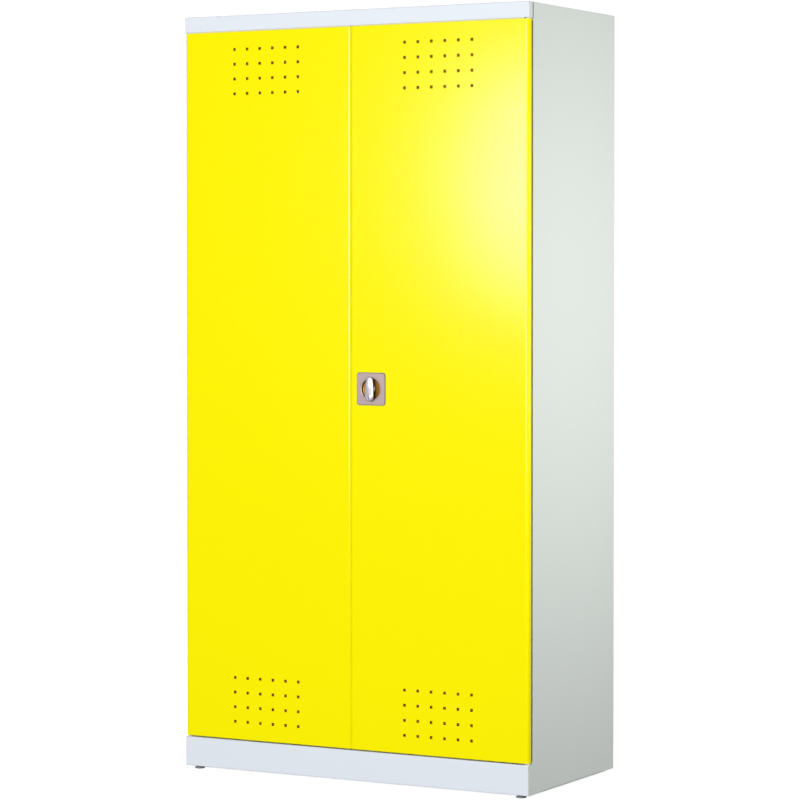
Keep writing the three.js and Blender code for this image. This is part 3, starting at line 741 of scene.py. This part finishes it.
def upright(node, side):
    """Slotted channel whose slots take the shelf clips."""
    lo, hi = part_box(node)
    y = (lo.y + hi.y) / 2
    web = lo.x if side > 0 else hi.x
    wall = hi.x if side > 0 else lo.x
    corners = [(wall, lo.y), (web, lo.y), (web, hi.y), (wall, hi.y)]
    outline = bent(corners, 1.6 * MM)
    split = len(outline) // 2
    section = outline[:split] + [(web, y - WAY_HALF), (web, y + WAY_HALF)] + outline[split:]
    zs = [lo.z, hi.z]
    for i in range(SLOT_COUNT):
        middle = FIRST_SLOT + i * SLOT_PITCH
        zs += [middle - 1.6 * MM, middle + 1.6 * MM]
    zs.sort()
    slots = [
        ((web - MM, y - WAY_HALF, a), (web + MM, y + WAY_HALF, b))
        for a, b in zip(zs[1:-1:2], zs[2:-1:2])
    ]
    bm = bmesh.new()
    add_grid(bm, section, zs, UP, slots)
    piece = to_object(bm, "visual_" + node)
    face_out(piece, (web, y - 9 * MM, 1), (-side, 0, 0))
    thicken(piece, width=0.25 * MM)
    return dress(piece, ZINC, "carcass", "galvanised_steel", node)


for hand, side in SIDES.items():
    side_panel(side, "side_panel_" + hand)
    for where in ("front", "rear"):
        upright(f"upright_{where}_{hand}", side)
roof()
plinth()
rear_rail()
floor_sheet()


def back_sheet():
    """Back panel with two shallow stiffening swages, pressed inwards."""
    lo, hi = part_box("back_panel")
    depth = 0.9 * MM
    xs = [lo.x]
    for centre in (-HALF / 3, HALF / 3):
        xs += [centre - 14 * MM, centre - 8 * MM, centre + 8 * MM, centre + 14 * MM]
    xs.append(hi.x)
    pressed = {x for centre in (-HALF / 3, HALF / 3) for x in (centre - 8 * MM, centre + 8 * MM)}
    section = [(x, hi.y - (depth if x in pressed else 0)) for x in xs]
    bm = bmesh.new()
    add_grid(bm, section, [lo.z, hi.z], UP)
    piece = to_object(bm, "visual_back_panel")
    face_out(piece, (lo.x, hi.y, 1), (0, 1, 0))
    thicken(piece, 1.0 * MM)
    return dress(piece, GREY, "carcass", "grey_paint", "back_panel")


back_sheet()


# ---------------------------------------------------------------- trays
def tray(node, body):
    """Liquid-tight tray: rounded corners, radiused bottom and a rim folded inwards."""
    lo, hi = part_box(node)
    centre = (lo + hi) / 2
    wide, deep = hi.x - lo.x, hi.y - lo.y

    def ring(inset, z, radius):
        place = lambda u, v: (centre.x + u, centre.y + v, z)
        return rounded_ring(wide - 2 * inset, deep - 2 * inset, max(radius - inset, 0.6 * MM), place, 6)

    corner = 7 * MM
    rings = []
    for i in range(6):
        angle = math.radians(90 * i / 5)
        bend = 3 * MM
        rings.append(ring(bend - bend * math.sin(angle), lo.z + bend - bend * math.cos(angle), corner))
    hem = 1.1 * MM
    for i in range(1, 7):
        angle = math.radians(180 * i / 6)
        rings.append(ring(hem - hem * math.cos(angle), hi.z - hem + hem * math.sin(angle), corner))
    rings.append(ring(2 * hem, hi.z - 7 * MM, corner))
    bm = bmesh.new()
    add_loft(bm, rings, cap_last=False)
    piece = to_object(bm, "visual_" + node)
    face_out(piece, (centre.x, centre.y, lo.z), (0, 0, -1))
    thicken(piece, 0.9 * MM, 0.2 * MM)
    return dress(piece, ZINC, body, "galvanised_steel", node)


for number in (1, 2, 3):
    tray(f"shelf_tray_{number}", f"shelf_{number}")
tray("sump_tray", "sump")


# ---------------------------------------------------------------- feet
def levelling_foot(where, hand):
    """Round pad with a soft rim and a threaded stud."""
    node = f"levelling_foot_{where}_{hand}"
    lo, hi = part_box(node)
    centre = ((lo.x + hi.x) / 2, (lo.y + hi.y) / 2)
    radius = (hi.x - lo.x) / 2
    profile = [(radius - 1.2 * MM, 0), (radius - 0.3 * MM, 0.3 * MM), (radius, 1.0 * MM)]
    profile += [(radius, 2.7 * MM), (radius - 0.6 * MM, 3.6 * MM), (radius - 4 * MM, 5.8 * MM)]
    profile += [(6.9 * MM, 6.3 * MM), (6.5 * MM, 7.2 * MM), (4.1 * MM, 7.3 * MM)]
    bm = bmesh.new()
    add_loft(bm, lathe_rings(profile, centre, "z"))
    pad = to_object(bm, "foot_pad_" + where + "_" + hand)
    dress(pad, FOOT_PLASTIC, f"foot_{where}_{hand}", "black_plastic", node)

    pitch = 1.5 * MM
    stud = []
    z = 7 * MM
    while z < hi.z - pitch:
        stud += [(3.3 * MM, z), (3.95 * MM, z + pitch / 2)]
        z += pitch
    stud.append((2.8 * MM, hi.z))
    bm = bmesh.new()
    add_loft(bm, lathe_rings(stud, centre, "z", 32))
    thread = to_object(bm, "foot_stud_" + where + "_" + hand)
    dress(thread, BOLT_STEEL, f"foot_{where}_{hand}", "galvanised_steel")

    nut_z = [BASE_Z + SHEET, BASE_Z + SHEET + 0.6 * MM, BASE_Z + 8.4 * MM, BASE_Z + 9 * MM]
    hexagon = [(7.2 * MM, nut_z[0]), (8 * MM, nut_z[1]), (8 * MM, nut_z[2]), (7.2 * MM, nut_z[3])]
    bore = [(4.2 * MM, nut_z[3]), (4.2 * MM, nut_z[0])]
    bm = bmesh.new()
    add_loft(bm, lathe_rings(hexagon + bore, centre, "z", 6), False, False)
    rings = lathe_rings([bore[-1], hexagon[0]], centre, "z", 6)
    add_loft(bm, rings, False, False)
    nut = to_object(bm, f"weld_nut_{where}_{hand}")
    dress(nut, BOLT_STEEL, "carcass", "galvanised_steel")


for where in ("front", "rear"):
    for hand in SIDES:
        levelling_foot(where, hand)


# ---------------------------------------------------------------- lock
PLATE_LO, PLATE_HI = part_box("lock_plate")
LOCK = ((PLATE_LO.x + PLATE_HI.x) / 2, (PLATE_LO.z + PLATE_HI.z) / 2)
PLATE_FACE = PLATE_LO.y
DISH_FLOOR = FRONT + 4.3 * MM
DISH_RADIUS = 27 * MM
TILT = 4.5  # degrees that the grip's upper face leans back


def front_place(depth):
    return lambda u, v: (LOCK[0] + u, depth, LOCK[1] + v)


def circle_ring(radius, depth, like_square_steps=8):
    """A circle with the same number of points as rounded_ring, so that both can be lofted."""
    return rounded_ring(2 * radius, 2 * radius, radius * 0.999, front_place(depth), like_square_steps)


def plate_ring(more, radius, depth):
    """The plate's rounded outline, larger by some amount each way."""
    wide, high = PLATE_HI.x - PLATE_LO.x + more, PLATE_HI.z - PLATE_LO.z + more
    return rounded_ring(wide, high, radius, front_place(depth))


def lock_plate():
    """Escutcheon with a soft rim and a rolled dish mouth."""
    ways = [(0, 7.0, FRONT - 0.3 * MM), (0, 7.0, PLATE_FACE + 0.9 * MM)]
    ways += [(0.6, 6.7, PLATE_FACE + 0.3 * MM), (1.8, 6.1, PLATE_FACE)]
    rings = [plate_ring(-less * MM, radius * MM, depth) for less, radius, depth in ways]
    mouth = [(32.4, 0.0), (31.9, 0.35), (31.3, 0.35), (30.8, 0.0), (28.6, 0.0), (27.9, 0.15)]
    mouth += [(27.35, 0.55), (27.1, 1.2), (27.1, 2.2)]
    rings += [circle_ring(r * MM, PLATE_FACE + d * MM) for r, d in mouth]
    bm = bmesh.new()
    add_loft(bm, rings, cap_first=False, cap_last=False)
    add_loft(bm, [rings[-1], rings[0]], False, False)
    piece = to_object(bm, "visual_lock_plate")
    dress(piece, PLATE_METAL, "right_door", "satin_nickel", "lock_plate")


def lock_dish():
    """Pressed cup behind the plate: round corner, two raised rings and a bore for the spindle."""
    wall = 1.2 * MM
    bend = 3 * MM
    rings = [circle_ring(DISH_RADIUS, z) for z in (PLATE_FACE + 2.0 * MM, DISH_FLOOR - bend)]
    for i in range(1, 6):
        angle = math.radians(90 * i / 5)
        radius = DISH_RADIUS - bend + bend * math.cos(angle)
        rings.append(circle_ring(radius, DISH_FLOOR - bend + bend * math.sin(angle)))
    floor = [(20.8, 0.0), (20.3, -0.8), (19.2, -0.8), (18.7, 0.0), (8.0, 0.0), (5.6, 0.2), (5.2, 1.2)]
    rings += [circle_ring(r * MM, DISH_FLOOR + d * MM) for r, d in floor]
    rings.append(circle_ring(DISH_RADIUS - 2 * MM, DISH_FLOOR + wall))
    rings.append(circle_ring(DISH_RADIUS + wall, DISH_FLOOR - 1.5 * MM))
    rings.append(circle_ring(DISH_RADIUS + wall, PLATE_FACE + 2.0 * MM))
    bm = bmesh.new()
    add_loft(bm, rings, cap_first=False, cap_last=False)
    add_loft(bm, [rings[-1], rings[0]], False, False)
    piece = to_object(bm, "lock_dish")
    # the dish's brown colour is painted reflection and painted shade
    dress(piece, DISH_PAINTED_REFLECTION, "right_door", "satin_nickel")


def lock_rim_shade():
    """Thin dark ring of painted shade that shows as a line around the plate's rounded rim."""
    near, far = FRONT - 0.05 * MM, FRONT - 0.7 * MM
    ways = [(3, 7.9, near), (3, 7.9, far + 0.2 * MM), (2.6, 7.7, far), (-17, 4.0, far), (-17, 4.0, near)]
    rings = [plate_ring(more * MM, radius * MM, depth) for more, radius, depth in ways]
    bm = bmesh.new()
    add_loft(bm, rings, False, False)
    add_loft(bm, [rings[-1], rings[0]], False, False)
    dress(to_object(bm, "lock_rim_shade"), RIM_SHADE, "right_door", "black_plastic")


def grip_section(height, half_wide, front, back):
    """Plan outline of the grip at one height: narrow at the back, a soft crowned face."""
    corner = min(2.6 * MM, 0.5 * half_wide)
    right = [(0.62 * half_wide, back), (0.72 * half_wide, back - 0.8 * MM)]
    right.append((0.95 * half_wide, (front + back) / 2))
    for u, v in arc((half_wide - corner, front + corner), corner, 0, -90, 6):
        right.append((u, v))
    crown = 0.35 * MM * (half_wide / (12 * MM))
    right.append((0.35 * half_wide, front - crown * 0.8))
    outline = right + [(0.0, front - crown)] + [(-u, v) for u, v in reversed(right)]
    return [(LOCK[0] + u, v, LOCK[1] + height) for u, v in outline]


def grip():
    """Swing grip: a bar with round ends, its upper face tilted back, on a turned hub."""
    lo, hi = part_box("grip_handle")
    half_high = (hi.z - lo.z) / 2
    back = FRONT - 3 * MM
    round_top, round_bottom = 8.2 * MM, 11.6 * MM
    rings = []
    stations = [0.1, 0.3, 0.7, 1.3, 2.2, 3.4, 5.0, 7.0, 9.5, 12, 16, 20, 24, 27, 31]
    heights = [-half_high + d * MM for d in stations] + [half_high - d * MM for d in reversed(stations)]
    for height in heights:
        up = (height + half_high) / (2 * half_high)
        body = round_bottom + 0.4 * MM * math.sin(math.pi * up) - (round_bottom - round_top) * up ** 3
        reach = half_high - abs(height)
        bend = round_bottom if height < 0 else round_top
        share = min(reach / bend, 1)
        half_wide = body * math.sqrt(share * (2 - share))
        end = max(0, 1 - reach / (2.5 * MM))
        recess = 2.5 * MM * (1 - math.sqrt(1 - end * end))
        tilted = max(0, height - 6 * MM) * math.tan(math.radians(TILT))
        rings.append(grip_section(height, half_wide, lo.y + 0.4 * MM + recess + tilted, back))
    bm = bmesh.new()
    add_loft(bm, rings)
    hub = [(12.0, -3.2), (10.8, -2.0), (10.4, 0.0), (10.4, 3.2), (9.9, 3.7)]
    hub += [(4.6, 3.8), (4.6, 16.0)]
    add_loft(bm, lathe_rings([(r * MM, FRONT + d * MM) for r, d in hub], LOCK, "y", 48))
    piece = to_object(bm, "visual_grip_handle")
    return dress(piece, GRIP_METAL, "handle", "satin_nickel", "grip_handle")


def key_cylinder():
    """Cylinder face with a raised rim, a recessed plug and a black shape of painted shade where the
    keyway is.
    """
    lo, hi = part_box("lock_cylinder")
    centre = ((lo.x + hi.x) / 2, (lo.z + hi.z) / 2)
    face = lo.y
    radius = (hi.x - lo.x) / 2
    profile = [(radius, face + 3 * MM), (radius, face + 0.7 * MM), (radius - 0.5 * MM, face + 0.1 * MM)]
    profile += [(radius - 1.2 * MM, face), (6.4 * MM, face), (6.1 * MM, face + 0.5 * MM)]
    profile += [(5.6 * MM, face + 0.7 * MM), (5.3 * MM, face + 0.5 * MM), (2.0 * MM, face + 0.35 * MM)]
    bm = bmesh.new()
    add_loft(bm, lathe_rings(profile, centre, "y", 48), cap_first=False, cap_last=True)
    body = to_object(bm, "visual_lock_cylinder")
    dress(body, GRIP_METAL, "key_cylinder", "satin_nickel", "lock_cylinder")

    # no keyway is cut: a black shape stands in for its shade
    bm = bmesh.new()
    place = lambda depth: (lambda u, v: (centre[0] + u, depth, centre[1] + v))
    rings = [
        rounded_ring(1.7 * MM, 7.0 * MM, 0.6 * MM, place(face + 0.6 * MM), 3),
        rounded_ring(1.7 * MM, 7.0 * MM, 0.6 * MM, place(face + 0.28 * MM), 3),
        rounded_ring(1.1 * MM, 6.4 * MM, 0.4 * MM, place(face + 0.24 * MM), 3),
    ]
    add_loft(bm, rings)
    keyway = to_object(bm, "keyway_painted_shade")
    dress(keyway, BLACK_PLASTIC, "key_cylinder", "satin_nickel")


lock_plate()
lock_rim_shade()
lock_dish()
grip()
key_cylinder()


# ---------------------------------------------------------------- CAD nodes that stay
STAYING = {
    "shelf_clip": ZINC,
    "hinge_pin": BOLT_STEEL,
    "hinge_bush": NYLON,
    "door_stiffener": YELLOW,
    "handle_cam": BOLT_STEEL,
    "lock_case": ZINC,
    "latch_tongue": BOLT_STEEL,
    "lock_rod": ZINC,
    "rod_guide": NYLON,
    "keeper_plate": ZINC,
    "magnetic_catch": BLACK_PLASTIC,
    "strike_plate": ZINC,
}
for name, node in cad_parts.items():
    for start, material in STAYING.items():
        if name.startswith(start):
            node.data.materials.clear()
            node.data.materials.append(material)


# ---------------------------------------------------------------- stage, light and camera
def stage_floor():
    bm = bmesh.new()
    reach = 40
    add_outline(bm, [(-reach, -reach, 0), (reach, -reach, 0), (reach, reach, 0), (-reach, reach, 0)])
    floor = to_object(bm, "stage_floor")
    recipe = Recipe("pale_floor")
    tone = recipe.mix(recipe.noise(1.2, 2.0), (0.93, 0.93, 0.94), (0.95, 0.95, 0.96))
    recipe.set(Emission_Color=(1.0, 1.0, 1.0), Emission_Strength=0.8)
    floor.data.materials.append(recipe.set(Base_Color=tone, Roughness=0.8, Specular_IOR_Level=0.1))
    floor.visible_diffuse = False
    floor.visible_glossy = False


def area_light(name, place, target, size, power, color):
    light = bpy.data.lights.new(name, "AREA")
    light.shape = "RECTANGLE"
    light.size, light.size_y = size
    light.energy = power
    light.color = color
    lamp = bpy.data.objects.new(name, light)
    lamp.location = place
    aim = Vector(target) - Vector(place)
    lamp.rotation_euler = aim.to_track_quat("-Z", "Y").to_euler()
    bpy.context.scene.collection.objects.link(lamp)
    return lamp


def white_wall_behind():
    """World light: a white wall behind the cabinet, dim in front of it and from below."""
    world = bpy.data.worlds.new("studio")
    bpy.context.scene.world = world
    world.use_nodes = True
    tree = world.node_tree
    way = tree.nodes.new("ShaderNodeTexCoord").outputs["Generated"]
    parts = tree.nodes.new("ShaderNodeSeparateXYZ")
    tree.links.new(way, parts.inputs["Vector"])

    def eased(source, start, stop, low, high):
        node = tree.nodes.new("ShaderNodeMapRange")
        node.interpolation_type = "SMOOTHSTEP"
        values = {"From Min": start, "From Max": stop, "To Min": low, "To Max": high}
        for name, value in values.items():
            node.inputs[name].default_value = value
        tree.links.new(source, node.inputs["Value"])
        return node.outputs["Result"]

    def product(first, second):
        node = tree.nodes.new("ShaderNodeMath")
        node.operation = "MULTIPLY"
        tree.links.new(first, node.inputs[0])
        tree.links.new(second, node.inputs[1])
        return node.outputs["Value"]

    behind = eased(parts.outputs["Y"], 0.45, 0.75, 0.12, 1.05)
    above = eased(parts.outputs["Z"], -0.35, -0.05, 0.6, 1.0)
    background = tree.nodes["Background"]
    background.inputs["Color"].default_value = (1, 1, 1, 1)
    tree.links.new(product(behind, above), background.inputs["Strength"])


def studio():
    white_wall_behind()
    middle = (0, 0, 1.0)
    area_light("key", (0.6, -7.4, 1.8), middle, (2.6, 2.6), 520, (0.90, 0.945, 1.0))
    glare = area_light("glare", (-2.46, -6.24, 1.75), (0.475, FRONT, 1.53), (0.55, 1.05), 50, (1, 1, 1))
    glare.data.shape = "ELLIPSE"
    area_light("side", (2.1, 0.0, 1.28), (0.5, 0, 1.23), (0.9, 0.9), 23, (0.93, 1.0, 0.86))


def camera():
    data = bpy.data.cameras.new("camera")
    data.lens = 136.61
    data.sensor_width = 36
    data.shift_x = 0.0006
    data.shift_y = -0.0693
    data.clip_end = 200
    view = bpy.data.objects.new("camera", data)
    view.location = (3.8243, FRONT - 6.6510, 1.2783)
    view.rotation_euler = (math.radians(90 - 1.234), 0, math.radians(28.998))
    bpy.context.scene.collection.objects.link(view)
    bpy.context.scene.camera = view


stage_floor()
studio()
camera()
bpy.context.scene.view_settings.view_transform = "Standard"
